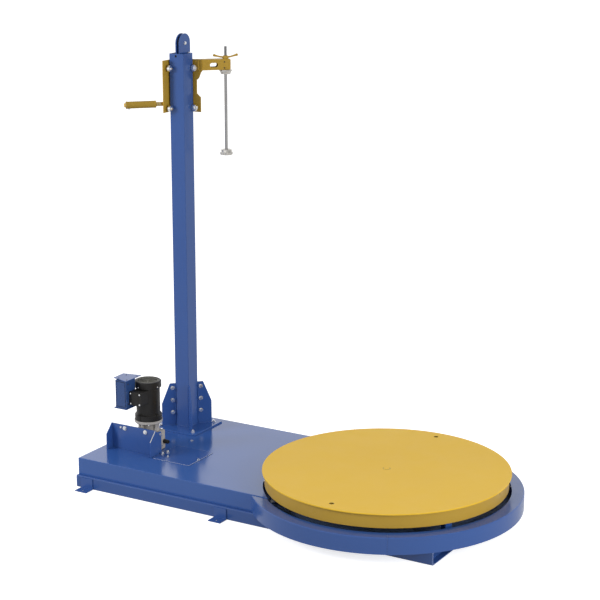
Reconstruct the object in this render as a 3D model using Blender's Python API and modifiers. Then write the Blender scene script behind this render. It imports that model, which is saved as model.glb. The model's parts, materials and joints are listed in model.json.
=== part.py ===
"""Turntable pallet wrapper: a base with a powered turntable, and a mast with a hand-moved film carriage.

Metres, +Z up, floor at z = 0, origin under the middle of the bounding box. +X runs along the base towards the turntable.
Most dimensions are laid out from the turntable's axis (u, v) and the mast's axis, then moved by SHIFT_X at the end.
"""

import math

import bmesh
import bpy
from mathutils import Matrix, Vector

GAP = 0.0003  # clearance between pieces that touch

# frame
RAIL_LEFT, RAIL_RIGHT = -1.900, 0.598
RAIL_Y, RAIL_H, RAIL_FLANGE, RAIL_T = 0.576, 0.078, 0.045, 0.006
BEAM_X = (-0.598, -0.160, 0.120)  # left edges of the cross channels under the table
# deck and ring guard
DECK_TOP, DECK_T, DECK_Y = 0.1848, 0.004, 0.550
CUTOUT_R = 0.745
RING_IN, RING_OUT, RING_TOP, RING_T = 0.752, 0.828, 0.1807, 0.004
PAN_R, PAN_STEP, PAN_TOP = 0.820, -0.490, 0.0816
# turntable
TABLE_R, TABLE_TOP, TABLE_T = 0.750, 0.2906, 0.008
SKIRT_R, SKIRT_T, SKIRT_BOTTOM = 0.735, 0.005, 0.200
ROLLER_X, ROLLER_Y, SUPPORT_R = 0.575, 0.360, 0.034
SPROCKET_Z, SPROCKET_T, DRIVEN_R, DRIVE_R = 0.120, 0.008, 0.250, 0.050
# gearmotor
MOTOR_X, MOTOR_Y, MOTOR_R, BELL_R, FLANGE_R = -1.616, -0.180, 0.0755, 0.0855, 0.0895
GEARBOX_TOP = 0.308
# mast
MAST_X, MAST_Y, MAST_W, MAST_T, MAST_TOP = -1.666, 0.327, 0.107, 0.005, 2.651
MAST_FOOT = DECK_TOP + GAP + 0.010
WING_OUT, WING_TOP_OUT, WING_SHOULDER, WING_TOP = 0.167, 0.112, 0.346, 0.483
EAR_Y, PIN_Z, EAR_R, SHEAVE_R = 0.0155, 2.714, 0.060, 0.047
WEIGHT, WEIGHT_H = 0.060, 0.300
# carriage, at the top of its travel
CAR_BOTTOM, CAR_TOP = 2.276, 2.610
GUIDE_R, GUIDE_UP, GUIDE_LOW = 0.0205, 2.558, 2.306
ARM_BOTTOM, ARM_TOP, ARM_END, ARM_FRONT, ARM_BACK = 2.541, 2.609, 0.237, 0.035, -0.015
ROD_A, ROD_P, ROD_R = 0.209, 0.010, 0.0095
HANDLE_Z, HANDLE_END, HANDLE_BOLT_R = 2.334, 0.292, 0.013
# the turntable axis is this far right of the middle of the bounding box, whose ends are the handle bolt and the ring guard
SHIFT_X = 0.5 * (MAST_W / 2 - MAST_X + (HANDLE_END + HANDLE_BOLT_R) / math.sqrt(2) - RING_OUT)
RUN = 0.0001  # radial clearance of running fits

for old in list(bpy.data.objects):
    bpy.data.objects.remove(old, do_unlink=True)
scene = bpy.context.scene
parts = bpy.data.collections.new("pallet_wrapper")
cutters = bpy.data.collections.new("cutters")
scene.collection.children.link(parts)
scene.collection.children.link(cutters)
cutters.hide_render = True


def material(name, colour, rough, metal=0.0):
    mat = bpy.data.materials.new(name)
    mat.use_nodes = True
    shader = mat.node_tree.nodes["Principled BSDF"]
    shader.inputs["Base Color"].default_value = (*colour, 1)
    shader.inputs["Roughness"].default_value = rough
    shader.inputs["Metallic"].default_value = metal
    mat.diffuse_color = (*colour, 1)
    return mat


BLUE = material("blue_paint", (0.10, 0.16, 0.42), 0.3)
YELLOW = material("yellow_paint", (0.78, 0.50, 0.10), 0.35)
BLACK = material("motor_black", (0.02, 0.02, 0.02), 0.5)
CAST = material("cast_grey", (0.55, 0.54, 0.50), 0.6)
ZINC = material("zinc_steel", (0.62, 0.62, 0.60), 0.35, 1.0)
STEEL = material("bright_steel", (0.55, 0.55, 0.55), 0.25, 1.0)
NYLON = material("nylon", (0.75, 0.73, 0.70), 0.5)
DARK = material("dark_steel", (0.12, 0.12, 0.12), 0.45, 1.0)


def add(name, bm, mat, smooth=False, where=None):
    bmesh.ops.recalc_face_normals(bm, faces=bm.faces)
    mesh = bpy.data.meshes.new(name)
    bm.to_mesh(mesh)
    bm.free()
    if mat:
        mesh.materials.append(mat)
    if smooth:
        for face in mesh.polygons:
            face.use_smooth = True
        mesh.set_sharp_from_angle(angle=math.radians(35))
    obj = bpy.data.objects.new(name, mesh)
    (where or parts).objects.link(obj)
    if where is cutters:
        obj.hide_render = True
        obj.display_type = "WIRE"
    return obj


def box_bm(lo, hi, bm=None):
    bm = bm or bmesh.new()
    made = bmesh.ops.create_cube(bm, size=1)
    size = [h - l for l, h in zip(lo, hi)]
    mid = [(h + l) / 2 for l, h in zip(lo, hi)]
    bmesh.ops.transform(bm, matrix=Matrix.Translation(mid) @ Matrix.Diagonal((*size, 1)), verts=made["verts"])
    return bm


AXES = {"x": Matrix.Rotation(math.pi / 2, 4, "Y"), "y": Matrix.Rotation(-math.pi / 2, 4, "X"), "z": Matrix.Identity(4)}


def along(direction):
    return Vector((0, 0, 1)).rotation_difference(Vector(direction).normalized()).to_matrix().to_4x4()


def realise(helper):
    """The evaluated shape of a helper object, welded, as a bmesh. The helper is removed."""
    scene.collection.objects.link(helper)
    bpy.context.view_layer.update()
    mesh = bpy.data.meshes.new_from_object(helper.evaluated_get(bpy.context.evaluated_depsgraph_get()))
    bm = bmesh.new()
    bm.from_mesh(mesh)
    bmesh.ops.remove_doubles(bm, verts=bm.verts, dist=1e-6)
    bpy.data.objects.remove(helper, do_unlink=True)
    bpy.data.meshes.remove(mesh)
    return bm


def turned(profile, start, axis="z", segments=32, bore=0.0):
    """A turned shape: profile is [(distance along the axis, radius), ...] from start, with an optional bore."""
    rows = [(profile[0][0], bore)] + list(profile) + [(profile[-1][0], bore)]
    mesh = bpy.data.meshes.new("profile")
    points = [(r, 0, h) for h, r in reversed(rows)]
    lines = [(i, i + 1) for i in range(len(points) - 1)]
    if bore:
        lines.append((len(points) - 1, 0))
    mesh.from_pydata(points, lines, [])
    helper = bpy.data.objects.new("profile", mesh)
    screw = helper.modifiers.new("turn", "SCREW")
    screw.axis = "Z"
    screw.steps = screw.render_steps = segments
    screw.use_merge_vertices = True
    screw.merge_threshold = 1e-5
    bm = realise(helper)
    turn = AXES[axis] if isinstance(axis, str) else along(axis)
    bmesh.ops.transform(bm, matrix=Matrix.Translation(start) @ turn, verts=bm.verts)
    return bm


def prism(outline, lo, hi, frame):
    """A filled flat outline extruded from lo to hi; frame(p, q, h) gives the point in space."""
    curve = bpy.data.curves.new("outline", "CURVE")
    curve.dimensions = "2D"
    curve.fill_mode = "BOTH"
    curve.extrude = (hi - lo) / 2
    spline = curve.splines.new("POLY")
    spline.points.add(len(outline) - 1)
    for point, (p, q) in zip(spline.points, outline):
        point.co = (p, q, 0, 1)
    spline.use_cyclic_u = True
    bm = realise(bpy.data.objects.new("outline", curve))
    bmesh.ops.dissolve_limit(bm, angle_limit=math.radians(0.05), verts=bm.verts, edges=bm.edges)
    origin = Vector(frame(0, 0, (lo + hi) / 2))
    steps = [Vector(frame(1, 0, 0)) - Vector(frame(0, 0, 0)), Vector(frame(0, 1, 0)) - Vector(frame(0, 0, 0)), Vector(frame(0, 0, 1)) - Vector(frame(0, 0, 0))]
    matrix = Matrix([[steps[c][r] for c in range(3)] + [origin[r]] for r in range(3)] + [[0, 0, 0, 1]])
    bmesh.ops.transform(bm, matrix=matrix, verts=bm.verts)
    return bm


def in_xy(p, q, h):
    return Vector((p, q, h))


def in_yz(p, q, h):
    return Vector((h, p, q))


def in_xz(p, q, h):
    return Vector((p, h, q))


def arc(cx, cy, r, start, end, steps):
    return [(cx + r * math.cos(math.radians(start + (end - start) * i / steps)), cy + r * math.sin(math.radians(start + (end - start) * i / steps))) for i in range(steps + 1)]


def rounded(x0, y0, x1, y1, r, steps=4):
    return arc(x1 - r, y0 + r, r, -90, 0, steps) + arc(x1 - r, y1 - r, r, 0, 90, steps) + arc(x0 + r, y1 - r, r, 90, 180, steps) + arc(x0 + r, y0 + r, r, 180, 270, steps)


def boolean(obj, bm, operation="DIFFERENCE"):
    tool = add(obj.name + "_cut", bm, None, where=cutters)
    mod = obj.modifiers.new(operation.lower(), "BOOLEAN")
    mod.operation = operation
    mod.solver = "EXACT"
    mod.object = tool
    return obj


def edges(obj, width, segments=1, angle=40):
    mod = obj.modifiers.new("edges", "BEVEL")
    mod.width = width
    mod.segments = segments
    mod.limit_method = "ANGLE"
    mod.angle_limit = math.radians(angle)
    return obj


# ---------------------------------------------------------------- frame
def channel_outline(web, tip, z0, z1, t):
    """A C-section standing on its edge: web at one side, flange tips at the other."""
    s = 1 if tip > web else -1
    return [(web, z0), (tip, z0), (tip, z0 + t), (web + s * t, z0 + t), (web + s * t, z1 - t), (tip, z1 - t), (tip, z1), (web, z1)]


def rail(name, side):
    outline = channel_outline(side * RAIL_Y, side * (RAIL_Y - RAIL_FLANGE), 0, RAIL_H, RAIL_T)
    return add(name, prism(outline, RAIL_LEFT, RAIL_RIGHT, in_yz), BLUE)


rail("rail_front", -1)
rail("rail_rear", 1)
CROSS_Y = RAIL_Y - RAIL_FLANGE - GAP


def cross(name, web, tip):
    outline = channel_outline(web, tip, 0, RAIL_H, RAIL_T)
    return add(name, prism(outline, -CROSS_Y, CROSS_Y, lambda p, q, h: Vector((p, h, q))), BLUE)


cross("cross_member_left", RAIL_LEFT, RAIL_LEFT + RAIL_FLANGE)
cross("cross_member_mid", BEAM_X[0] + RAIL_FLANGE, BEAM_X[0])
cross("center_beam_left", BEAM_X[1] + 0.040, BEAM_X[1])
cross("center_beam_right", BEAM_X[2], BEAM_X[2] + 0.040)
cross("cross_member_right", RAIL_RIGHT - RAIL_FLANGE, RAIL_RIGHT)

FOOT_L, FOOT_W, FOOT_H, FOOT_T = 0.088, 0.072, 0.070, 0.006
for name, x0, side in (("foot_front_left", -1.861, -1), ("foot_front_mid", -0.865, -1), ("foot_rear_left", -1.861, 1), ("foot_rear_mid", -0.865, 1)):
    y0 = RAIL_Y + GAP
    outline = [(side * y0, 0), (side * (y0 + FOOT_W), 0), (side * (y0 + FOOT_W), FOOT_T), (side * (y0 + FOOT_T), FOOT_T), (side * (y0 + FOOT_T), FOOT_H), (side * y0, FOOT_H)]
    foot = add(name, prism(outline, x0, x0 + FOOT_L, in_yz), BLUE)
    boolean(foot, turned([(0, 0.008), (0.02, 0.008)], (x0 + FOOT_L / 2, side * (y0 + 0.044), -0.007), segments=16))

# ---------------------------------------------------------------- deck
deck_y = DECK_Y
top_z = DECK_TOP - DECK_T
half_angle = math.degrees(math.asin(deck_y / CUTOUT_R))
outline = [(RAIL_LEFT, -deck_y)] + arc(0, 0, CUTOUT_R, 180 + half_angle, 180 - half_angle, 40) + [(RAIL_LEFT, deck_y)]
deck = add("deck_cover", prism(outline, RAIL_H + GAP, DECK_TOP, in_xy), BLUE)
inner_edge = -math.sqrt(CUTOUT_R**2 - (deck_y - DECK_T) ** 2)
boolean(deck, box_bm((RAIL_LEFT + DECK_T, -(deck_y - DECK_T), 0), (0.1, deck_y - DECK_T, top_z)))
boolean(deck, turned([(0, 0.030), (0.2, 0.030)], (MOTOR_X, MOTOR_Y, 0.10), segments=24))
chain_cover = add("chain_cover", prism(rounded(-1.490, -0.331, -1.2105, -0.050, 0.018), DECK_TOP + GAP, DECK_TOP + 0.004, in_xy), BLUE)


# ---------------------------------------------------------------- ring guard
def ring(name, start, end, cut_side=0):
    section = [(RING_IN, RING_TOP - RING_T), (RING_OUT - RING_T, RING_TOP - RING_T), (RING_OUT - RING_T, RAIL_H + GAP), (RING_OUT, RAIL_H + GAP), (RING_OUT, RING_TOP), (RING_IN, RING_TOP)]
    mesh = bpy.data.meshes.new("section")
    mesh.from_pydata([(r, 0, z) for r, z in section], [], [tuple(range(len(section)))])
    bm = bmesh.new()
    bm.from_mesh(mesh)
    bmesh.ops.rotate(bm, verts=bm.verts, cent=(0, 0, 0), matrix=Matrix.Rotation(math.radians(start), 3, "Z"))
    steps = 2 * max(3, round(abs(end - start) / 10))
    bmesh.ops.spin(bm, geom=bm.faces[:], cent=(0, 0, 0), axis=(0, 0, 1), angle=math.radians(end - start), steps=steps)
    bmesh.ops.remove_doubles(bm, verts=bm.verts, dist=1e-6)
    obj = add(name, bm, BLUE, smooth=True)
    if cut_side:
        y = DECK_Y + GAP
        lo, hi = sorted((0, cut_side * y))
        boolean(obj, box_bm((-1, lo, 0), (0, hi, 0.3)))
    return obj


ring("guard_ring_front", -142, -62.03, -1)
ring("guard_ring_right", -61.97, 61.97)
ring("guard_ring_rear", 62.03, 142, 1)

# the pan closes the ring guard from below; left of PAN_STEP it narrows to pass between the deck's sides
pan_half = DECK_Y - DECK_T - 0.001
step_angle = math.degrees(math.acos(PAN_STEP / PAN_R))
narrow_angle = 180 - math.degrees(math.asin(pan_half / PAN_R))
outline = arc(0, 0, PAN_R, -step_angle, step_angle, 72) + [(PAN_STEP, pan_half)] + arc(0, 0, PAN_R, narrow_angle, 360 - narrow_angle, 24) + [(PAN_STEP, -pan_half)]
add("ring_pan", prism(outline, RAIL_H + GAP, PAN_TOP - GAP, in_xy), BLUE)

# ---------------------------------------------------------------- turntable
table = add("turntable_plate", turned([(0, TABLE_R), (TABLE_T - 0.0015, TABLE_R), (TABLE_T, TABLE_R - 0.0015)], (0, 0, TABLE_TOP - TABLE_T), segments=120), YELLOW, smooth=True)
add("turntable_skirt", turned([(0, SKIRT_R), (TABLE_TOP - TABLE_T - GAP - SKIRT_BOTTOM, SKIRT_R)], (0, 0, SKIRT_BOTTOM), segments=96, bore=SKIRT_R - SKIRT_T), YELLOW, smooth=True)
for y in (-0.6735, 0.6735):
    boolean(table, turned([(0, 0.010), (0.05, 0.010)], (0, y, 0.26), segments=20))
boolean(table, turned([(0, 0.0085), (0.05, 0.0085)], (0, 0, 0.26), segments=20))

post = add("center_post", turned([(0, 0.135), (0.008, 0.135), (0.008, 0.035), (0.1725, 0.035), (0.1765, 0.031)], (0, 0, PAN_TOP), segments=32), DARK, smooth=True)
edges(post, 0.001)


def toothed(radius, teeth, depth):
    points = []
    for i in range(teeth):
        for f, r in ((0.0, radius - depth), (0.30, radius - depth), (0.42, radius), (0.58, radius), (0.70, radius - depth)):
            if f == 0.0:
                continue
            t = 2 * math.pi * (i + f) / teeth
            points.append((r * math.cos(t), r * math.sin(t)))
    return points


hub_top = TABLE_TOP - TABLE_T - GAP
driven = add("driven_sprocket", turned([(0, 0.062), (hub_top - 0.0905 - 0.012, 0.062), (hub_top - 0.0905 - 0.012, 0.100), (hub_top - 0.0905, 0.100)], (0, 0, 0.0905), segments=40, bore=0.0350 + 2 * RUN), DARK, smooth=True)
boolean(driven, prism(toothed(DRIVEN_R, 60, 0.008), SPROCKET_Z, SPROCKET_Z + SPROCKET_T, in_xy), "UNION")
boolean(driven, turned([(0, 0.0350 + 2 * RUN), (0.3, 0.0350 + 2 * RUN)], (0, 0, 0.05), segments=40))
for number, (sx, sy) in enumerate(((1, 1), (-1, 1), (-1, -1), (1, -1)), 1):
    x, y = sx * ROLLER_X, sy * ROLLER_Y
    out = Vector((x, y, 0)).normalized()
    z = hub_top - SUPPORT_R
    side = Vector((-out.y, out.x, 0))
    start = Vector((x, y, z)) - out * 0.018
    add(f"support_roller_{number}", turned([(0, SUPPORT_R - 0.002), (0.003, SUPPORT_R), (0.033, SUPPORT_R), (0.036, SUPPORT_R - 0.002)], start, tuple(out), 28, bore=0.0080 + 2 * RUN), NYLON, smooth=True)

    def local(p, q, h, x=x, y=y, out=out, side=side):
        return Vector((x, y, 0)) + out * p + side * h + Vector((0, 0, q))

    base = PAN_TOP
    saddle = [(-0.0255, base), (0.0255, base), (0.0255, z + 0.014), (0.0205, z + 0.014), (0.0205, base + 0.006), (-0.0205, base + 0.006), (-0.0205, z + 0.014), (-0.0255, z + 0.014)]
    holder = add(f"roller_bracket_{number}", prism(saddle, -0.021, 0.021, local), BLUE)
    boolean(holder, turned([(0, 0.008), (0.056, 0.008)], Vector((x, y, z)) - out * 0.028, tuple(out), 16), "UNION")

# ---------------------------------------------------------------- gearmotor and chain drive
bracket_outline = [(-1.8395, -0.334), (-1.8335, -0.334), (-1.8335, -0.275), (-1.5015, -0.275), (-1.5015, -0.334), (-1.4955, -0.334), (-1.4955, -0.269), (-1.8395, -0.269)]
bracket = add("motor_bracket", prism(bracket_outline, DECK_TOP + GAP, 0.348, in_xy), BLUE)
boolean(bracket, prism([(-0.34, 0.281), (-0.276, 0.3475), (-0.276, 0.40), (-0.40, 0.40), (-0.40, 0.281)], -1.9, -1.4, in_yz))
boolean(bracket, prism([(-0.2720, DECK_TOP + GAP), (-0.2153, DECK_TOP + GAP), (-0.2153, 0.327), (-0.2200, 0.332), (-0.2720, 0.336)], -1.5012, -1.4958, in_yz), "UNION")
gear_lo, gear_hi = (-1.702, -0.2685), (-1.530, -0.1100)
housing = add("gearbox_housing", prism(rounded(*gear_lo, *gear_hi, 0.022), DECK_TOP + GAP, GEARBOX_TOP, in_xy), CAST)
edges(housing, 0.006, 2, 60)
boolean(housing, turned([(0, 0.072), (0.030, 0.066), (0.065, 0.066), (0.073, FLANGE_R), (0.0997, FLANGE_R)], (MOTOR_X, MOTOR_Y, 0.300), segments=40), "UNION")
boolean(housing, turned([(0, 0.0135), (0.13, 0.0135)], (MOTOR_X, MOTOR_Y, 0.14), segments=24))
add("gearbox_output_shaft", turned([(0, 0.0115), (0.002, 0.0125), (0.155, 0.0125)], (MOTOR_X, MOTOR_Y, 0.106), segments=24), STEEL, smooth=True)
drive = add("drive_sprocket", prism([(MOTOR_X + p, MOTOR_Y + q) for p, q in toothed(DRIVE_R, 12, 0.008)], SPROCKET_Z, SPROCKET_Z + SPROCKET_T, in_xy), DARK)
boolean(drive, turned([(0, 0.026), (0.030, 0.026)], (MOTOR_X, MOTOR_Y, SPROCKET_Z + 0.004), segments=24), "UNION")
boolean(drive, turned([(0, 0.0128), (0.3, 0.0128)], (MOTOR_X, MOTOR_Y, 0.05), segments=24))

# the chain runs round both sprockets on the two outer tangents
span = math.hypot(MOTOR_X, MOTOR_Y)
lean = math.asin((DRIVEN_R - DRIVE_R) / span)
bearing = math.atan2(MOTOR_Y, MOTOR_X)


def belt_loop(extra):
    big, small = DRIVEN_R + extra, DRIVE_R + extra
    a0 = bearing + math.pi / 2 - lean
    a1 = bearing - math.pi / 2 + lean
    points = []
    sweep = 2 * math.pi - 2 * (math.pi / 2 - lean)
    for i in range(33):
        t = a0 + sweep * i / 32
        points.append((big * math.cos(t), big * math.sin(t)))
    sweep = 2 * (math.pi / 2 - lean)
    for i in range(13):
        t = a1 + sweep * i / 12
        points.append((MOTOR_X + small * math.cos(t), MOTOR_Y + small * math.sin(t)))
    return points


chain = add("drive_chain", prism(belt_loop(0.011), SPROCKET_Z - 0.003, SPROCKET_Z + SPROCKET_T + 0.003, in_xy), DARK)
boolean(chain, prism(belt_loop(0.0022), 0.05, 0.2, in_xy))

motor = add("motor_body", turned([(0, BELL_R), (0.024, BELL_R), (0.028, MOTOR_R), (0.2005, MOTOR_R)], (MOTOR_X, MOTOR_Y, 0.4003), segments=48), BLACK, smooth=True)
cover = add("motor_fan_cover", turned([(0, BELL_R), (0.036, BELL_R), (0.0415, BELL_R - 0.007), (0.0427, BELL_R - 0.030)], (MOTOR_X, MOTOR_Y, 0.6013), segments=48), BLACK, smooth=True)
boolean(cover, turned([(0, BELL_R - 0.003), (0.0365, BELL_R - 0.003), (0.0385, BELL_R - 0.010), (0.0395, BELL_R - 0.030)], (MOTOR_X, MOTOR_Y, 0.600), segments=48))
conduit = add("conduit_box", prism(rounded(-1.661, 0.508, -1.569, 0.597, 0.008, 3), -0.320, -0.236, in_xz), BLACK)
boolean(conduit, box_bm((-1.657, -0.316, 0.512), (-1.573, -0.180, 0.593)))
boolean(conduit, turned([(0, MOTOR_R + GAP), (0.2, MOTOR_R + GAP)], (MOTOR_X, MOTOR_Y, 0.45), segments=48))
control = add("control_box", prism([(-1.744, -0.351), (-1.6615, -0.351), (-1.6615, -0.2535), (-1.744, -0.2535)], 0.488, 0.668, in_xy), BLUE)
boolean(control, prism([(-1.752, -0.359), (-1.6555, -0.359), (-1.6555, -0.2535), (-1.752, -0.2535)], 0.4835, 0.4895, in_xy), "UNION")
boolean(control, box_bm((-1.7415, -0.3485, 0.4920), (-1.6640, -0.2560, 0.70)))
lid = add("control_box_lid", prism([(-1.7740, -0.3280), (-1.6530, -0.3610), (-1.6530, -0.1970), (-1.7760, -0.2220)], 0.6685, 0.6735, in_xy), BLUE)

# ---------------------------------------------------------------- mast
base_plate = add("mast_base_plate", prism(rounded(MAST_X - 0.171, MAST_Y - 0.171, MAST_X + 0.171, MAST_Y + 0.171, 0.015), DECK_TOP + GAP, MAST_FOOT - GAP, in_xy), BLUE)
w = MAST_W / 2
mast = add("mast_tube", prism(rounded(MAST_X - w, MAST_Y - w, MAST_X + w, MAST_Y + w, 0.004, 2), MAST_FOOT, MAST_TOP, in_xy), BLUE)
boolean(mast, box_bm((MAST_X - w + MAST_T, MAST_Y - w + MAST_T, 0), (MAST_X + w - MAST_T, MAST_Y + w - MAST_T, 3)))
corner = (w - 0.004) * math.sqrt(2) + 0.004 + GAP


def wing_frame(angle):
    d = Vector((math.cos(math.radians(angle)), math.sin(math.radians(angle)), 0))
    n = Vector((-d.y, d.x, 0))
    return lambda p, q, h: Vector((MAST_X, MAST_Y, 0)) + d * p + n * h + Vector((0, 0, q))


WING = [(corner, MAST_FOOT), (WING_OUT, MAST_FOOT), (WING_OUT, WING_SHOULDER), (WING_TOP_OUT, WING_TOP), (corner, WING_TOP)]
for name, angle in (("mast_wing_left", 225), ("mast_wing_right", 45), ("mast_wing_front", -45)):
    add(name, prism(WING, -0.004, 0.004, wing_frame(angle)), BLUE)

EAR_LOW = 2.590


def ear(name, x0, x1):
    inner = w - MAST_T - 0.0005
    top = MAST_TOP + GAP
    outline = [(-inner, EAR_LOW), (inner, EAR_LOW), (inner, top), (EAR_Y + EAR_R, top)] + arc(EAR_Y, PIN_Z, EAR_R, 0, 180, 20) + [(EAR_Y - EAR_R, top - 0.001), (-inner, top - 0.001)]
    obj = add(name, prism(outline, MAST_X + x0, MAST_X + x1, lambda p, q, h: Vector((h, MAST_Y + p, q))), BLUE)
    boolean(obj, turned([(0, 0.0064), (0.1, 0.0064)], (MAST_X - 0.05, MAST_Y + EAR_Y, PIN_Z), "x", 16))


ear("pulley_ear_far", -0.0115, -0.0050)
ear("pulley_ear_near", 0.0140, 0.0205)
near = bpy.data.objects["pulley_ear_near"]
near.modifiers.clear()
boolean(near, turned([(0, 0.0048), (0.001, 0.0060), (0.0365, 0.0060), (0.0365, 0.0095), (0.0405, 0.0095)], (MAST_X - 0.0150, MAST_Y + EAR_Y, PIN_Z), "x", 18), "UNION")
add("lift_sheave", turned([(0, SHEAVE_R), (0.003, SHEAVE_R), (0.007, SHEAVE_R - 0.006), (0.010, SHEAVE_R - 0.006), (0.014, SHEAVE_R), (0.017, SHEAVE_R)], (MAST_X - 0.0040, MAST_Y + EAR_Y, PIN_Z), "x", 36, bore=0.0060 + RUN), NYLON, smooth=True)
add("counterweight", prism(rounded(MAST_X - WEIGHT / 2, MAST_Y - WEIGHT / 2, MAST_X + WEIGHT / 2, MAST_Y + WEIGHT / 2, 0.004, 2), 0.250, 0.250 + WEIGHT_H, in_xy), DARK)

# ---------------------------------------------------------------- carriage
def from_mast(p, q, h):
    return Vector((MAST_X + p, MAST_Y + h, q))


back = [(-0.068, CAR_BOTTOM), (0.103, CAR_BOTTOM), (0.103, 2.371), (0.0745, 2.394), (0.0745, 2.480)]
back += [(0.0835, 2.4840), (0.0935, 2.4960), (0.1000, 2.5120), (0.1075, 2.5290), (0.1165, 2.5390), (0.1165, CAR_TOP), (-0.068, CAR_TOP)]
carriage = add("carriage_bracket", prism(back, 0.062, 0.068, from_mast), YELLOW)
boolean(carriage, prism([(-0.110, CAR_BOTTOM + 0.004), (0.065, CAR_BOTTOM + 0.004), (0.065, CAR_TOP), (-0.110, CAR_TOP)], -0.068, -0.062, lambda p, q, h: Vector((MAST_X + h, MAST_Y + p, q))), "UNION")
left_x, left_y = -0.036, -(w + GUIDE_R + GAP)
right_x, right_y = w + GUIDE_R + GAP, 0.034
for level in (GUIDE_UP, GUIDE_LOW):
    boolean(carriage, turned([(0, 0.0075), (0.009, 0.0075), (0.009, 0.0048), (0.0585, 0.0048)], (MAST_X - 0.0765, MAST_Y + left_y, level), "x", 14), "UNION")
    boolean(carriage, turned([(0, 0.0048), (0.0480, 0.0048), (0.0480, 0.0075), (0.0570, 0.0075)], (MAST_X + right_x, MAST_Y + 0.0195, level), "y", 14), "UNION")
guide = [(0, GUIDE_R - 0.0015), (0.0015, GUIDE_R), (0.0165, GUIDE_R), (0.018, GUIDE_R - 0.0015)]
for name, level, which in (("guide_roller_upper_left", GUIDE_UP, 0), ("guide_roller_upper_right", GUIDE_UP, 1), ("guide_roller_lower_left", GUIDE_LOW, 0), ("guide_roller_lower_right", GUIDE_LOW, 1)):
    if which == 0:
        add(name, turned(guide, (MAST_X + left_x - 0.009, MAST_Y + left_y, level), "x", 28, bore=0.0048 + RUN), NYLON, smooth=True)
    else:
        add(name, turned(guide, (MAST_X + right_x, MAST_Y + right_y - 0.009, level), "y", 28, bore=0.0048 + RUN), NYLON, smooth=True)

DIAG = Vector((1, 1, 0)).normalized()
FACE = Vector((1, -1, 0)).normalized()
CORNER = Vector((MAST_X + w, MAST_Y + w, 0))


def on_arm(a, p, z):
    return CORNER + DIAG * a + FACE * p + Vector((0, 0, z))


arm_bm = prism(rounded(-0.06, ARM_BOTTOM, ARM_END, ARM_TOP, 0.006, 3), ARM_BACK, ARM_FRONT, lambda p, q, h: on_arm(p, h, q))
arm = add("carriage_arm", arm_bm, YELLOW)
boolean(arm, prism([(-0.2, ARM_BOTTOM + 0.005), (ARM_END - 0.005, ARM_BOTTOM + 0.005), (ARM_END - 0.005, ARM_TOP - 0.005), (-0.2, ARM_TOP - 0.005)], ARM_BACK + 0.005, ARM_FRONT - 0.005, lambda p, q, h: on_arm(p, h, q)))
boolean(arm, box_bm((MAST_X - 0.3, MAST_Y - 0.3, 2.4), (MAST_X + 0.4, MAST_Y + 0.0683, 2.7)))
boolean(arm, prism(rounded(0.1035, 2.5590, 0.1555, 2.5865, 0.0135, 6), -0.1, 0.1, lambda p, q, h: on_arm(p, h, q)))
boolean(arm, turned([(0, ROD_R + 0.0003), (0.3, ROD_R + 0.0003)], on_arm(ROD_A, ROD_P, 2.45), "z", 20))

rod = add("film_rod", turned([(0, ROD_R), (0.696, ROD_R), (0.700, ROD_R - 0.003)], on_arm(ROD_A, ROD_P, 1.990), "z", 24), STEEL, smooth=True)
add("film_cone", turned([(0, 0.0330), (0.014, 0.0345), (0.019, 0.0400), (0.028, 0.0410)], on_arm(ROD_A, ROD_P, 2.5120), "z", 40, bore=ROD_R + RUN), ZINC, smooth=True)
add("film_disc", turned([(0, 0.0410), (0.016, 0.0410), (0.022, 0.0370), (0.036, 0.0350)], on_arm(ROD_A, ROD_P, 1.9940), "z", 40, bore=ROD_R + RUN), ZINC, smooth=True)


def wing_bar(a0, z0, a1, z1, t0, t1):
    """A flat bar on the nut, rising and widening outwards: a cube whose two ends are moved."""
    bm = bmesh.new()
    made = bmesh.ops.create_cube(bm, size=2)
    for vert in made["verts"]:
        a, z, t = (a0, z0, t0) if vert.co.x < 0 else (a1, z1, t1)
        vert.co = on_arm(a, ROD_P + t * vert.co.y, z + 0.0035 * vert.co.z)
    return bm


nut = add("wing_nut", turned([(0, 0.019), (0.012, 0.017), (0.020, 0.014)], on_arm(ROD_A, ROD_P, ARM_TOP + GAP), "z", 32, bore=ROD_R + RUN), YELLOW, smooth=True)
boolean(nut, wing_bar(ROD_A - 0.0125, 2.6155, ROD_A - 0.082, 2.6340, 0.007, 0.009), "UNION")
boolean(nut, wing_bar(ROD_A + 0.0125, 2.6155, ROD_A + 0.082, 2.6340, 0.007, 0.009), "UNION")

HANDLE = Vector((MAST_X - w, MAST_Y - w, 0))


def on_handle(a, p, z):
    return HANDLE - DIAG * a + FACE * p + Vector((0, 0, z))


bar = add("handle_bar", prism([(-0.03, HANDLE_Z - 0.0125), (0.089, HANDLE_Z - 0.0125), (0.089, HANDLE_Z + 0.0125), (-0.03, HANDLE_Z + 0.0125)], -0.004, 0.004, lambda p, q, h: on_handle(p, h, q)), YELLOW)
boolean(bar, box_bm((MAST_X - 0.0683, MAST_Y - 0.3, 2.2), (MAST_X + 0.3, MAST_Y + 0.3, 2.5)))
boolean(bar, turned([(0, 0.0080), (HANDLE_END - 0.086, 0.0080), (HANDLE_END - 0.086, HANDLE_BOLT_R), (HANDLE_END - 0.078, HANDLE_BOLT_R)], on_handle(0.078, 0, HANDLE_Z), tuple(-DIAG), 16), "UNION")
add("handle_grip", turned([(0, 0.0205), (0.003, 0.0225), (0.189, 0.0225), (0.192, 0.0205)], on_handle(0.0895, 0, HANDLE_Z), tuple(-DIAG), 28, bore=0.0084), YELLOW, smooth=True)

# ---------------------------------------------------------------- axes of motion and the part's own origin
origin = bpy.data.objects.new("origin", None)
parts.objects.link(origin)


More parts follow.
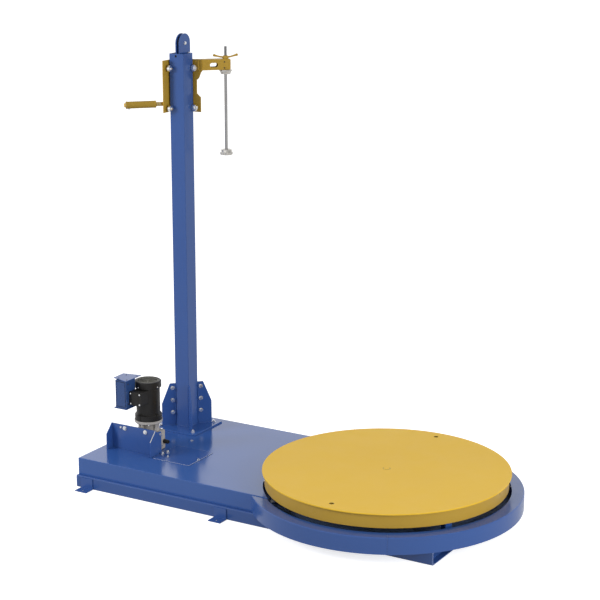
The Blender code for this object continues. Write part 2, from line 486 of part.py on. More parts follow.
def pivot(name, place, *nodes):
    """An empty on a joint's axis that carries the pieces which move about it, each with its own origin there."""
    place = Vector(place)
    empty = bpy.data.objects.new(name, None)
    empty.empty_display_size = 0.1
    empty.location = place
    empty.parent = origin
    parts.objects.link(empty)
    for node in nodes:
        obj = bpy.data.objects[node]
        obj.data.transform(Matrix.Translation(-place))
        obj.parent = empty
    return empty


pivot("turntable_axis", (0, 0, 0.280), "turntable_plate", "turntable_skirt", "driven_sprocket")
pivot("drive_axis", (MOTOR_X, MOTOR_Y, SPROCKET_Z + 0.004), "drive_sprocket", "gearbox_output_shaft")
for number, (sx, sy) in enumerate(((1, 1), (-1, 1), (-1, -1), (1, -1)), 1):
    pivot(f"support_roller_{number}_axis", (sx * ROLLER_X, sy * ROLLER_Y, hub_top - SUPPORT_R), f"support_roller_{number}")
slide = pivot("carriage_slide", (MAST_X, MAST_Y, CAR_BOTTOM), "carriage_bracket", "carriage_arm", "handle_bar", "handle_grip", "film_rod")
rod_place = on_arm(ROD_A, ROD_P, 0)
moving = [pivot("film_axis", (rod_place.x, rod_place.y, 2.250), "film_cone", "film_disc"), pivot("locking_nut_axis", (rod_place.x, rod_place.y, 2.620), "wing_nut")]
for label, level in (("upper", GUIDE_UP), ("lower", GUIDE_LOW)):
    moving.append(pivot(f"guide_{label}_left_axis", (MAST_X + left_x, MAST_Y + left_y, level), f"guide_roller_{label}_left"))
    moving.append(pivot(f"guide_{label}_right_axis", (MAST_X + right_x, MAST_Y + right_y, level), f"guide_roller_{label}_right"))
for empty in moving:  # these ride on the carriage
    empty.parent = slide
    empty.location = empty.location - slide.location
pivot("sheave_axis", (MAST_X, MAST_Y + EAR_Y, PIN_Z), "lift_sheave")
pivot("weight_slide", (MAST_X, MAST_Y, 0.250), "counterweight")
for obj in list(parts.objects) + list(cutters.objects):
    if obj is not origin and obj.parent is None:
        obj.parent = origin
origin.location.x = SHIFT_X
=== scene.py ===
"""Looks of the turntable pallet wrapper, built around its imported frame. Metres, +Z up, floor at z = 0."""

import math

import bmesh
import bpy
from mathutils import Matrix, Vector
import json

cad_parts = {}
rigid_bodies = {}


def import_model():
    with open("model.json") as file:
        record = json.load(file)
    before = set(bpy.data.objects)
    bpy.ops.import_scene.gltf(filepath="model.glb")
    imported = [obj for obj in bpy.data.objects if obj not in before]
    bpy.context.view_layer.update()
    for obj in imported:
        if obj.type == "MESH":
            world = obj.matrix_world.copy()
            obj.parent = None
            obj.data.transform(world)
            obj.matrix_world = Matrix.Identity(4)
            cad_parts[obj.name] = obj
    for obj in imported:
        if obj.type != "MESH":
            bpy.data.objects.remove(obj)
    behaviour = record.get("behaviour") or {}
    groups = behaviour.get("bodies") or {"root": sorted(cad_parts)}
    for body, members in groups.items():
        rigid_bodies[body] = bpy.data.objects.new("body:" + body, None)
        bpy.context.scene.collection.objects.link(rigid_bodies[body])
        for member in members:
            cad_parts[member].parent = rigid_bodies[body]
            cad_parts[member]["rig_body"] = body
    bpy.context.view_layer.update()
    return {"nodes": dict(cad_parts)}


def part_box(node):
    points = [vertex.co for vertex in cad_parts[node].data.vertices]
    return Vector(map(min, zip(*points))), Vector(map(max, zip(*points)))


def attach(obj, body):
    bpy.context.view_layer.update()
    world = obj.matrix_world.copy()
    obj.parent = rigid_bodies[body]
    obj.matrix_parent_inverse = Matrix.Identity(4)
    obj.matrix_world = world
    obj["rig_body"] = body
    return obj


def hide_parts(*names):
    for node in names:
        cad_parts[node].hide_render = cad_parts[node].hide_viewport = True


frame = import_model()
scene = bpy.context.scene

# ---------------------------------------------------------------- places, read from the frame
plate_lo, plate_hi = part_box("turntable_plate")
TABLE = Vector(((plate_lo.x + plate_hi.x) / 2, 0, 0))  # the turntable's axis
TABLE_TOP = plate_hi.z
mast_lo, mast_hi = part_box("mast_tube")
MAST = Vector(((mast_lo.x + mast_hi.x) / 2, (mast_lo.y + mast_hi.y) / 2, 0))
MAST_W = mast_hi.x - mast_lo.x
motor_lo, motor_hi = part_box("motor_body")
MOTOR = Vector(((motor_lo.x + motor_hi.x) / 2, (motor_lo.y + motor_hi.y) / 2, 0))
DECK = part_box("deck_cover")[1].z
cone_lo, cone_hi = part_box("film_cone")
ROD = Vector(((cone_lo.x + cone_hi.x) / 2, (cone_lo.y + cone_hi.y) / 2, 0))
DIAG = Vector((1, 1, 0)).normalized()
FACE = Vector((1, -1, 0)).normalized()
X, Y, Z = Vector((1, 0, 0)), Vector((0, 1, 0)), Vector((0, 0, 1))

# ---------------------------------------------------------------- camera, light and floor
cam_data = bpy.data.cameras.new("camera")
cam_data.lens = 105.453
cam_data.sensor_width = 36
cam_data.clip_end = 100
camera = bpy.data.objects.new("camera", cam_data)
camera.location = (TABLE.x + 4.601, -8.8687, 3.9309)
camera.rotation_euler = (math.radians(90 - 14.5746), 0, math.radians(30.4091))
scene.collection.objects.link(camera)
scene.camera = camera
scene.view_settings.view_transform = "Standard"

world = bpy.data.worlds.new("studio")
scene.world = world
world.use_nodes = True
wn = world.node_tree
wn.nodes.clear()


def link(tree, a, b):
    tree.links.new(a, b)


# diffuse light comes from a soft grey dome; mirror-like reflections see a bright horizon that dims overhead and to the right
w_out = wn.nodes.new("ShaderNodeOutputWorld")
w_path = wn.nodes.new("ShaderNodeLightPath")
w_coord = wn.nodes.new("ShaderNodeTexCoord")
w_sep = wn.nodes.new("ShaderNodeSeparateXYZ")
link(wn, w_coord.outputs["Generated"], w_sep.inputs[0])


def dome(stops, strength):
    ramp = wn.nodes.new("ShaderNodeValToRGB")
    while len(ramp.color_ramp.elements) < len(stops):
        ramp.color_ramp.elements.new(0.5)
    for element, (place, value) in zip(ramp.color_ramp.elements, stops):
        element.position = place
        element.color = (value, value, value * 1.01, 1)
    link(wn, w_sep.outputs["Z"], ramp.inputs["Fac"])
    shade = wn.nodes.new("ShaderNodeBackground")
    shade.inputs["Strength"].default_value = strength
    link(wn, ramp.outputs["Color"], shade.inputs["Color"])
    return shade, ramp


w_sky, _ = dome([(0.0, 0.95), (0.4, 1.0), (1.0, 0.9)], 0.60)
w_mirror, w_ramp = dome([(0.0, 1.0), (0.36, 0.98), (0.60, 0.55), (1.0, 0.42)], 0.95)
w_side = wn.nodes.new("ShaderNodeMapRange")
w_side.inputs["From Min"].default_value = 0.30
w_side.inputs["From Max"].default_value = 0.75
w_side.inputs["To Min"].default_value = 1.30
w_side.inputs["To Max"].default_value = 0.45
link(wn, w_sep.outputs["X"], w_side.inputs["Value"])
link(wn, w_side.outputs["Result"], w_mirror.inputs["Strength"])
w_white = wn.nodes.new("ShaderNodeBackground")
w_white.inputs["Color"].default_value = (1, 1, 1, 1)
w_gloss = wn.nodes.new("ShaderNodeMixShader")
link(wn, w_path.outputs["Is Glossy Ray"], w_gloss.inputs["Fac"])
link(wn, w_sky.outputs[0], w_gloss.inputs[1])
link(wn, w_mirror.outputs[0], w_gloss.inputs[2])
w_mix = wn.nodes.new("ShaderNodeMixShader")
link(wn, w_path.outputs["Is Camera Ray"], w_mix.inputs["Fac"])
link(wn, w_gloss.outputs[0], w_mix.inputs[1])
link(wn, w_white.outputs[0], w_mix.inputs[2])
link(wn, w_mix.outputs[0], w_out.inputs["Surface"])


def area(name, place, target, size, power, colour=(1, 1, 1)):
    data = bpy.data.lights.new(name, "AREA")
    data.shape = "DISK"
    data.size = size
    data.energy = power
    data.color = colour
    lamp = bpy.data.objects.new(name, data)
    lamp.location = place
    lamp.rotation_euler = (Vector(target) - Vector(place)).to_track_quat("-Z", "Y").to_euler()
    lamp.visible_glossy = False
    scene.collection.objects.link(lamp)
    return lamp


area("key", (-5.6, -5.2, 3.8), (0.0, 0.0, 0.8), 3.0, 305)
area("fill", (7.0, -2.0, 2.5), (0.0, 0.0, 1.0), 3.5, 280)

floor_bm = bmesh.new()
bmesh.ops.create_grid(floor_bm, x_segments=1, y_segments=1, size=60)
floor_mesh = bpy.data.meshes.new("floor")
floor_bm.to_mesh(floor_mesh)
floor_bm.free()
floor = bpy.data.objects.new("floor", floor_mesh)
floor.location.z = -0.0006
scene.collection.objects.link(floor)
floor_mat = bpy.data.materials.new("floor_white")
floor_mat.use_nodes = True
ft = floor_mat.node_tree
ft.nodes.clear()


def floor_node(kind, **values):
    made = ft.nodes.new(kind)
    for key, value in values.items():
        made.inputs[key].default_value = value
    return made.outputs[0] if kind != "ShaderNodeLightPath" else made


f_path = floor_node("ShaderNodeLightPath")
f_add = ft.nodes.new("ShaderNodeAddShader")
link(ft, floor_node("ShaderNodeBsdfDiffuse", Color=(0.86, 0.86, 0.86, 1)), f_add.inputs[0])
link(ft, floor_node("ShaderNodeEmission", Strength=0.72), f_add.inputs[1])
f_bounce = ft.nodes.new("ShaderNodeMixShader")
link(ft, f_path.outputs["Is Glossy Ray"], f_bounce.inputs[0])
link(ft, floor_node("ShaderNodeBsdfDiffuse", Color=(0.34, 0.34, 0.34, 1)), f_bounce.inputs[1])
link(ft, floor_node("ShaderNodeEmission", Strength=0.75), f_bounce.inputs[2])
f_mix = ft.nodes.new("ShaderNodeMixShader")
link(ft, f_path.outputs["Is Camera Ray"], f_mix.inputs[0])
link(ft, f_bounce.outputs[0], f_mix.inputs[1])
link(ft, f_add.outputs[0], f_mix.inputs[2])
f_out = ft.nodes.new("ShaderNodeOutputMaterial")
link(ft, f_mix.outputs[0], f_out.inputs["Surface"])
floor_mesh.materials.append(floor_mat)


# ---------------------------------------------------------------- materials
def node(tree, kind, **values):
    made = tree.nodes.new(kind)
    for key, value in values.items():
        if key in made.inputs:
            made.inputs[key].default_value = value
        else:
            setattr(made, key, value)
    return made


def noise(tree, coord, scale, detail=3.0, rough=0.5, stretch=None):
    made = node(tree, "ShaderNodeTexNoise", Scale=scale, Detail=detail, Roughness=rough)
    if stretch:
        mapping = node(tree, "ShaderNodeMapping", Scale=stretch)
        link(tree, coord, mapping.inputs["Vector"])
        coord = mapping.outputs["Vector"]
    link(tree, coord, made.inputs["Vector"])
    return made.outputs["Fac"]


def ranged(tree, value, low, high, start=0.3, stop=0.7):
    made = node(tree, "ShaderNodeMapRange", **{"From Min": start, "From Max": stop, "To Min": low, "To Max": high})
    link(tree, value, made.inputs["Value"])
    return made.outputs["Result"]


def mixed(tree, factor, a, b, mode="MIX"):
    made = tree.nodes.new("ShaderNodeMix")
    made.data_type = "RGBA"
    made.blend_type = mode
    for socket, value in ((made.inputs[0], factor), (made.inputs[6], a), (made.inputs[7], b)):
        if isinstance(value, (int, float)):
            socket.default_value = value
        elif isinstance(value, tuple):
            socket.default_value = (*value, 1) if len(value) == 3 else value
        else:
            link(tree, value, socket)
    return made.outputs[2]


def surface(name, colour, other, rough, metal=0.0, coat=0.0, coat_rough=0.1, patch=2.2, grain=70.0, grain_amount=0.35,
            bump_scale=420.0, bump_depth=0.00006, bump_strength=0.25, stretch=None, spread=0.35, edge=None, edge_size=0.0018, specular=0.5, cavity_shade=0.0, edge_patchiness=(0.38, 0.62)):
    """A finish with slow colour drift, fine mottling, uneven gloss and a fine surface relief, plus a lighter band along
    edges (slightly rubbed paint on most finishes, a painted highlight where the edge colour is pale) and, when asked,
    painted shade: a darker colour in hollows and between parts, from ambient occlusion.
    """
    mat = bpy.data.materials.new(name)
    mat.use_nodes = True
    tree = mat.node_tree
    shader = tree.nodes["Principled BSDF"]
    coord = node(tree, "ShaderNodeTexCoord").outputs["Object"]
    slow = ranged(tree, noise(tree, coord, patch, 4.0), 0.0, 1.0)
    fine = ranged(tree, noise(tree, coord, grain, 5.0, 0.6, stretch), 0.0, grain_amount)
    base = mixed(tree, slow, colour, other)
    base = mixed(tree, fine, base, other)
    # painted shade: ambient occlusion darkens the base colour in hollows and between parts
    if cavity_shade:
        ao = node(tree, "ShaderNodeAmbientOcclusion", Distance=0.05, samples=4)
        shade = ranged(tree, ao.outputs["AO"], cavity_shade, 0.0, 0.15, 0.75)
        base = mixed(tree, shade, base, tuple(c * 0.45 for c in colour))
    # lighter edge band from a bevel-normal mask broken by noise: slightly rubbed paint on most finishes, a painted
    # highlight on the rail and chain-cover finishes
    if edge:
        bevel = node(tree, "ShaderNodeBevel", Radius=edge_size, samples=4)
        geometry = node(tree, "ShaderNodeNewGeometry")
        dot = node(tree, "ShaderNodeVectorMath", operation="DOT_PRODUCT")
        link(tree, bevel.outputs["Normal"], dot.inputs[0])
        link(tree, geometry.outputs["Normal"], dot.inputs[1])
        edge_rub_and_highlight = ranged(tree, dot.outputs["Value"], 0.75, 0.0, 0.86, 0.985)
        breaks = node(tree, "ShaderNodeMath", operation="MULTIPLY")
        link(tree, edge_rub_and_highlight, breaks.inputs[0])
        link(tree, ranged(tree, noise(tree, coord, 55.0, 4.0), 0.0, 1.0, *edge_patchiness), breaks.inputs[1])
        base = mixed(tree, breaks.outputs[0], base, edge)
    link(tree, base, shader.inputs["Base Color"])
    link(tree, ranged(tree, noise(tree, coord, 9.0, 4.0), rough * (1 - spread), rough * (1 + spread)), shader.inputs["Roughness"])
    shader.inputs["Metallic"].default_value = metal
    shader.inputs["Coat Weight"].default_value = coat
    shader.inputs["Coat Roughness"].default_value = coat_rough
    shader.inputs["Specular IOR Level"].default_value = specular
    bump = node(tree, "ShaderNodeBump", Strength=bump_strength, Distance=bump_depth)
    link(tree, noise(tree, coord, bump_scale, 2.0, 0.5, stretch), bump.inputs["Height"])
    link(tree, bump.outputs["Normal"], shader.inputs["Normal"])
    return mat


BLUE = surface("blue_enamel", (0.031, 0.089, 0.303), (0.035, 0.096, 0.316), 0.20, edge=(0.055, 0.125, 0.380), bump_depth=0.00004, bump_strength=0.18)
# the blue enamel for the deck and the mast's base plate: its higher gloss is the finish's own, its slightly lighter
# colour is painted light on these upward faces
DECK_LIGHTENED = surface("deck_enamel_lightened", (0.034, 0.102, 0.340), (0.037, 0.108, 0.352), 0.15, spread=0.15, edge=(0.055, 0.125, 0.380), bump_scale=260.0, bump_depth=0.00003, bump_strength=0.12, patch=1.4)
YELLOW = surface("yellow_enamel", (0.765, 0.475, 0.034), (0.790, 0.498, 0.042), 0.48, edge=(0.90, 0.66, 0.20), specular=0.25, grain_amount=0.12, bump_strength=0.08, patch=1.5, spread=0.06)
# a darker copy of the yellow enamel, painted shade, for the turntable's skirt, the carriage parts, its welds and the
# wing nut
YELLOW_SHADED = surface("yellow_enamel_shaded", (0.450, 0.278, 0.032), (0.485, 0.304, 0.040), 0.38, edge=(0.72, 0.50, 0.14), specular=0.4, grain_amount=0.2)
BLACK = surface("motor_black", (0.0125, 0.0120, 0.0125), (0.018, 0.017, 0.016), 0.42, bump_scale=900.0, bump_depth=0.00012, bump_strength=0.5, edge=(0.06, 0.057, 0.053), specular=0.3)
COVER = surface("fan_cover_top", (0.085, 0.083, 0.066), (0.100, 0.097, 0.078), 0.55, bump_scale=900.0, bump_depth=0.0001, specular=0.3)
# CAST, ALLOY and OILED take painted shade in their hollows from the ambient-occlusion term
CAST = surface("cast_grey", (0.36, 0.34, 0.32), (0.46, 0.435, 0.405), 0.60, bump_scale=260.0, bump_depth=0.0005, bump_strength=0.6, grain_amount=0.6, cavity_shade=0.7, specular=0.3)
ZINC = surface("zinc_plate", (0.86, 0.87, 0.89), (0.92, 0.92, 0.90), 0.24, metal=1.0, patch=30.0, grain=300.0, bump_scale=1200.0, bump_depth=0.00003)
STEEL = surface("ground_steel", (0.38, 0.375, 0.375), (0.46, 0.455, 0.45), 0.22, metal=1.0, patch=12.0, grain=500.0, stretch=(1, 1, 0.04), bump_scale=900.0, bump_depth=0.00003)
THREADED = surface("threaded_steel", (0.43, 0.43, 0.43), (0.52, 0.52, 0.52), 0.30, metal=1.0, patch=30.0, grain=500.0, bump_scale=900.0, bump_depth=0.00003)
ALLOY = surface("turned_alloy", (0.64, 0.62, 0.58), (0.72, 0.70, 0.66), 0.34, metal=0.9, patch=20.0, grain=240.0, stretch=(0.05, 0.05, 1), bump_scale=1400.0, bump_depth=0.00004, cavity_shade=0.5)
NYLON = surface("nylon_wheel", (0.50, 0.48, 0.44), (0.56, 0.54, 0.50), 0.45, bump_scale=700.0)
OILED = surface("oiled_steel", (0.060, 0.056, 0.050), (0.100, 0.094, 0.084), 0.38, metal=0.9, grain_amount=0.6, bump_scale=300.0, bump_depth=0.0002, cavity_shade=0.5)
GRIP = surface("grip_yellow", (0.370, 0.240, 0.040), (0.420, 0.275, 0.052), 0.80, bump_scale=600.0, bump_depth=0.0002, bump_strength=0.5, specular=0.05)
CREAM = surface("passivated_collar", (0.560, 0.470, 0.250), (0.620, 0.530, 0.300), 0.40, bump_scale=700.0, specular=0.4)
DARK = surface("dark_inside", (0.010, 0.010, 0.011), (0.016, 0.016, 0.017), 0.7, specular=0.2)
# the blue enamel made several times lighter for the pan under the turntable: painted light on a part that sits in shade
PAN_LIGHTENED = surface("pan_enamel_lightened", (0.165, 0.245, 0.460), (0.180, 0.262, 0.480), 0.45, specular=0.25)
# the rails' finish: its wide pale band along the rounded top fold is a painted highlight
EDGED = surface("rail_enamel", (0.028, 0.083, 0.285), (0.032, 0.090, 0.298), 0.20, edge=(0.300, 0.380, 0.620), edge_size=0.008, bump_depth=0.00004, bump_strength=0.18, edge_patchiness=(0.05, 0.20))
# the chain cover's finish: the near-white band along its edges is a painted highlight
LIPPED = surface("cover_enamel", (0.027, 0.084, 0.300), (0.030, 0.090, 0.312), 0.16, edge=(0.80, 0.84, 0.92), edge_size=0.004, bump_depth=0.00003, bump_strength=0.12, edge_patchiness=(0.10, 0.30))
# a darker copy of the blue enamel for the control box and its door: painted shade from the motor beside it
BOX_SHADED = surface("box_enamel_shaded", (0.025, 0.066, 0.205), (0.028, 0.071, 0.215), 0.24, edge=(0.055, 0.110, 0.300), bump_depth=0.00004, bump_strength=0.18)


# ---------------------------------------------------------------- mesh helpers
def weigh(obj):
    """Flat faces keep their own normal and the narrow edge faces take the turn."""
    step = obj.modifiers.new("normals", "WEIGHTED_NORMAL")
    step.mode = "FACE_AREA"
    step.weight = 100
    step.keep_sharp = True


def piece(name, bm, mat, body, replaces=(), sharp=32, smooth=True):
    bmesh.ops.recalc_face_normals(bm, faces=bm.faces)
    mesh = bpy.data.meshes.new(name)
    bm.to_mesh(mesh)
    bm.free()
    mesh.materials.append(mat)
    if smooth:
        for face in mesh.polygons:
            face.use_smooth = True
        mesh.set_sharp_from_angle(angle=math.radians(sharp))
    obj = bpy.data.objects.new(name, mesh)
    scene.collection.objects.link(obj)
    if smooth:
        weigh(obj)
    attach(obj, body)
    if replaces:
        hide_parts(*replaces)
    return obj


def bevel(bm, width, segments=2, angle=30, keep=None):
    chosen = [e for e in bm.edges if len(e.link_faces) == 2 and e.calc_face_angle(0) > math.radians(angle) and (keep is None or keep(e))]
    bmesh.ops.bevel(bm, geom=chosen, offset=width, segments=segments, profile=0.5, affect="EDGES", clamp_overlap=True)
    return bm


def cad(name):
    """A CAD node's shape, welded and with its flat faces made whole again."""
    bm = bmesh.new()
    bm.from_mesh(frame["nodes"][name].data)
    bmesh.ops.remove_doubles(bm, verts=bm.verts, dist=2e-6)
    bmesh.ops.dissolve_limit(bm, angle_limit=math.radians(0.2), verts=bm.verts, edges=bm.edges)
    return bm


def finished(name, mat, width=0.001, segments=2, angle=34, body=None, sharp=34, folds=None, radius=0.004):
    """A CAD node's own shape with its edges broken; folds picks the long outer edges that are bent, so rounder."""
    bm = cad(name)
    if folds:
        bevel(bm, radius, 4, 60, folds)
    if width:
        bevel(bm, width, segments, angle)
    return piece(name + "_surface", bm, mat, body or frame["nodes"][name]["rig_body"], (name,), sharp)


def aim(direction, roll=None):
    d = Vector(direction).normalized()
    turn = Z.rotation_difference(d).to_matrix().to_4x4()
    return turn @ Matrix.Rotation(roll or 0, 4, "Z")


def turned(profile, start, direction=(0, 0, 1), segments=64, bore=0.0, bm=None):
    """profile is [(distance along the axis, radius), ...]."""
    rows = [(profile[0][0], bore)] + list(profile) + [(profile[-1][0], bore)]
    own = bmesh.new()
    verts = [own.verts.new((r, 0, h)) for h, r in rows]
    lines = [own.edges.new(pair) for pair in zip(verts, verts[1:])]
    if bore:
        lines.append(own.edges.new((verts[-1], verts[0])))
    bmesh.ops.spin(own, geom=verts + lines, cent=(0, 0, 0), axis=(0, 0, 1), angle=2 * math.pi, steps=segments, use_merge=True)
    bmesh.ops.remove_doubles(own, verts=own.verts, dist=1e-6)
    bmesh.ops.transform(own, matrix=Matrix.Translation(start) @ aim(direction), verts=own.verts)
    return joined(bm, own)


def joined(bm, own):
    if bm is None:
        return own
    mesh = bpy.data.meshes.new("step")
    own.to_mesh(mesh)
    own.free()
    bm.from_mesh(mesh)
    bpy.data.meshes.remove(mesh)
    return bm


def box(lo, hi, width=0.0, bm=None, segments=2):
    own = bmesh.new()
    bmesh.ops.create_cube(own, size=1)
    size = [b - a for a, b in zip(lo, hi)]
    mid = [(b + a) / 2 for a, b in zip(lo, hi)]
    bmesh.ops.transform(own, matrix=Matrix.Translation(mid) @ Matrix.Diagonal((*size, 1)), verts=own.verts)
    if width:
        bmesh.ops.bevel(own, geom=own.edges[:], offset=width, segments=segments, profile=0.5, affect="EDGES")
    return joined(bm, own)


def prism(outline, lo, hi, place, width=0.0, bm=None, segments=2):
    """A flat outline pushed from lo to hi; place(p, q, h) gives the point in space."""
    own = bmesh.new()
    face = own.faces.new([own.verts.new(place(p, q, lo)) for p, q in outline])
    made = bmesh.ops.extrude_face_region(own, geom=[face])
    shift = place(0, 0, hi) - place(0, 0, lo)
    bmesh.ops.translate(own, vec=shift, verts=[v for v in made["geom"] if isinstance(v, bmesh.types.BMVert)])
    bmesh.ops.recalc_face_normals(own, faces=own.faces)
    if width:
        bevel(own, width, segments, 40)
    return joined(bm, own)


def arc(cx, cy, r, start, end, steps):
    return [(cx + r * math.cos(math.radians(start + (end - start) * i / steps)), cy + r * math.sin(math.radians(start + (end - start) * i / steps))) for i in range(steps + 1)]


def rounded(x0, y0, x1, y1, r, steps=8):
    return arc(x1 - r, y0 + r, r, -90, 0, steps) + arc(x1 - r, y1 - r, r, 0, 90, steps) + arc(x0 + r, y1 - r, r, 90, 180, steps) + arc(x0 + r, y0 + r, r, 180, 270, steps)


def hexagon(place, direction, flats, height, roll=0.0, bm=None, bore=0.0, both=False):
    """A hexagon head or nut: six flats and a turned chamfer, whose edge scallops the flats as on a real one."""
    own = bmesh.new()
    n = 48
    inner = flats / 2 * 0.94
    levels = []
    for i in range(n):
        t = 2 * math.pi * i / n
        r = flats / 2 / math.cos((t % (math.pi / 3)) - math.pi / 6)
        drop = (r - inner) * math.tan(math.radians(30))
        column = [(bore, 0.0)] if bore else []
        if both:
            column += [(inner, 0.0), (r, drop)]
        else:
            column += [(r, 0.0)]
        column += [(r, height - drop), (inner, height)]
        if bore:
            column += [(bore, height)]
        levels.append([own.verts.new((q * math.cos(t), q * math.sin(t), h)) for q, h in column])
    for i in range(n):
        a, b = levels[i], levels[(i + 1) % n]
        for j in range(len(a) - 1):
            own.faces.new((a[j], b[j], b[j + 1], a[j + 1]))
        if bore:
            own.faces.new((a[-1], b[-1], b[0], a[0]))
    if not bore:
        own.faces.new([c[0] for c in levels][::-1])
        own.faces.new([c[-1] for c in levels])
    bmesh.ops.transform(own, matrix=Matrix.Translation(place) @ aim(direction, roll), verts=own.verts)
    return joined(bm, own)


def bolt(bm, place, direction, size, roll=0.0, washer=True, stud=0.0, head=None):
    """A hexagon head of an M-size bolt on its washer, or with stud a nut with the thread's end standing out of it."""
    place, d = Vector(place), Vector(direction).normalized()
    flats = {6: 0.010, 8: 0.013, 10: 0.017, 12: 0.019, 16: 0.024}[size]
    high = {6: 0.0042, 8: 0.0055, 10: 0.0066, 12: 0.0077, 16: 0.0102}[size]
    lift = 0.0
    if washer:
        lift = size * 0.00020
        r = washer if isinstance(washer, float) else flats * 0.72
        bm = turned([(0, r - 0.0004), (0.0004, r), (lift - 0.0003, r), (lift, r - 0.0004)], place, d, 40, bm=bm)
    bm = hexagon(place + d * lift, d, flats, high, roll, bm)
    if stud:
        bm = thread(place + d * (lift + high - 0.001), d, size / 2000, stud, 0.00025 * size / 2, bm)
    return bm


def thread(place, direction, radius, length, pitch, bm=None):
    """A threaded end: V-shaped turns with a chamfered tip."""
    turns = max(2, int(length / pitch))
    depth = pitch * 0.6
    profile = []
    for i in range(turns):
        h = i * pitch
        profile += [(h, radius - depth), (h + pitch / 2, radius)]
    profile += [(turns * pitch, radius - depth), (turns * pitch + depth, radius - 2 * depth)]
    return turned(profile, place, direction, 28, bm=bm)


def button(bm, place, direction, radius, high, recess=True):
    """A domed screw head with a round recess."""
    profile = [(0, radius), (high * 0.25, radius)]
    for i in range(1, 6):
        t = math.radians(18 * i)
        inner = radius * 0.38 if recess else 0
        profile.append((high * (0.25 + 0.75 * math.sin(t)), inner + (radius - inner) * math.cos(t) * 0.98 + 0.0))
    if recess:
        profile += [(high * 0.4, radius * 0.34)]
    return turned(profile, place, direction, 28, bm=bm)


def weld_line(bm, a, b, size, seed=0.0):
    """A fillet weld bead between two points: a low rounded rib with the ripples of the passes."""
    a, b = Vector(a), Vector(b)
    d = (b - a).normalized()
    length = (b - a).length
    steps = max(6, int(length / 0.0022))
    own = bmesh.new()
    side = d.orthogonal().normalized()
    up = d.cross(side)
    rings = []
    for i in range(steps + 1):
        t = i / steps
        swell = 1 + 0.10 * math.sin(i * 1.35 + seed) + 0.05 * math.sin(i * 0.37 + seed * 2)
        r = size * swell * min(1, 0.35 + 8 * min(t, 1 - t))
        rings.append([own.verts.new(a + d * (length * t) + (side * math.cos(k * math.pi / 4) + up * math.sin(k * math.pi / 4)) * r) for k in range(8)])
    for p, q in zip(rings, rings[1:]):
        for k in range(8):
            own.faces.new((p[k], p[(k + 1) % 8], q[(k + 1) % 8], q[k]))
    own.faces.new(rings[0][::-1])
    own.faces.new(rings[-1])
    return joined(bm, own)


def in_xy(p, q, h):
    return Vector((p, q, h))


def T(x, y, z):
    """A place measured from the turntable's axis."""
    return Vector((TABLE.x + x, y, z))


def cut(obj, bm):
    """Cuts a closed shape out of a finished piece."""
    bmesh.ops.recalc_face_normals(bm, faces=bm.faces)
    mesh = bpy.data.meshes.new("cutter")
    bm.to_mesh(mesh)
    bm.free()
    cutter = bpy.data.objects.new("cutter", mesh)
    scene.collection.objects.link(cutter)
    obj.modifiers.clear()
    step = obj.modifiers.new("cut", "BOOLEAN")
    step.object = cutter
    step.operation = "DIFFERENCE"
    step.solver = "EXACT"
    bpy.context.view_layer.update()
    done = bpy.data.meshes.new_from_object(obj.evaluated_get(bpy.context.evaluated_depsgraph_get()))
    obj.modifiers.clear()
    obj.data = done
    done.set_sharp_from_angle(angle=math.radians(32))
    weigh(obj)
    bpy.data.objects.remove(cutter)


def long_edge(e, least=0.3):
    return (e.verts[0].co - e.verts[1].co).length > least


def lobed(rows, start, lobes, segments=144, bore=0.0, bm=None):
    """A turned shape whose rows (height, radius, lobe depth) may ripple round the rim."""
    own = bmesh.new()
    columns = []
    for i in range(segments):
        t = 2 * math.pi * i / segments
        column = []
        for h, r, depth in [(rows[0][0], bore, 0)] * (bore > 0) + list(rows) + [(rows[-1][0], bore, 0)] * (bore > 0):
            wave = r - depth * (0.5 - 0.5 * math.cos(lobes * t)) ** 2
            column.append(own.verts.new(Vector(start) + Vector((wave * math.cos(t), wave * math.sin(t), h))))
        columns.append(column)
    for i in range(segments):
        p, q = columns[i], columns[(i + 1) % segments]
        for j in range(len(p) - 1):
            own.faces.new((p[j], q[j], q[j + 1], p[j + 1]))
        if bore:
            own.faces.new((p[-1], q[-1], q[0], p[0]))
    if not bore:
        own.faces.new([c[0] for c in columns][::-1])
        own.faces.new([c[-1] for c in columns])
    return joined(bm, own)


# ---------------------------------------------------------------- base frame
rail_out, rail_top = -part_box("rail_front")[0].y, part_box("rail_front")[1].z
for name in ("rail_front", "rail_rear"):
    finished(name, EDGED, 0.0008, folds=lambda e: long_edge(e) and all(abs(v.co.y) > rail_out - 0.0005 for v in e.verts), radius=0.007)
for name in ("cross_member_left", "cross_member_mid", "center_beam_left", "center_beam_right", "cross_member_right"):
    finished(name, BLUE, 0.0012, 3)
for name in ("foot_front_left", "foot_front_mid", "foot_rear_left", "foot_rear_mid"):
    finished(name, BLUE, 0.0010)
deck_left, deck_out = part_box("deck_cover")[0].x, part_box("deck_cover")[1].y
finished("deck_cover", DECK_LIGHTENED, 0.0006, folds=lambda e: long_edge(e) and all(v.co.z > DECK - 0.0005 for v in e.verts) and (all(abs(v.co.y) > deck_out - 0.0005 for v in e.verts) or all(v.co.x < deck_left + 0.0005 for v in e.verts)), radius=0.0035)
finished("ring_pan", PAN_LIGHTENED, 0)
finished("chain_cover", LIPPED, 0.0014)
for i in range(1, 5):
    finished(f"roller_bracket_{i}", BLUE, 0.0008)
    finished(f"support_roller_{i}", NYLON, 0.0006)
finished("center_post", OILED, 0)
finished("driven_sprocket", OILED, 0)
finished("drive_sprocket", OILED, 0)
finished("gearbox_output_shaft", STEEL, 0)
finished("drive_chain", OILED, 0)

RING_IN, RING_OUT = 0.752, 0.8274
ring_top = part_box("guard_ring_right")[1].z
ring_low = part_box("guard_ring_right")[0].z


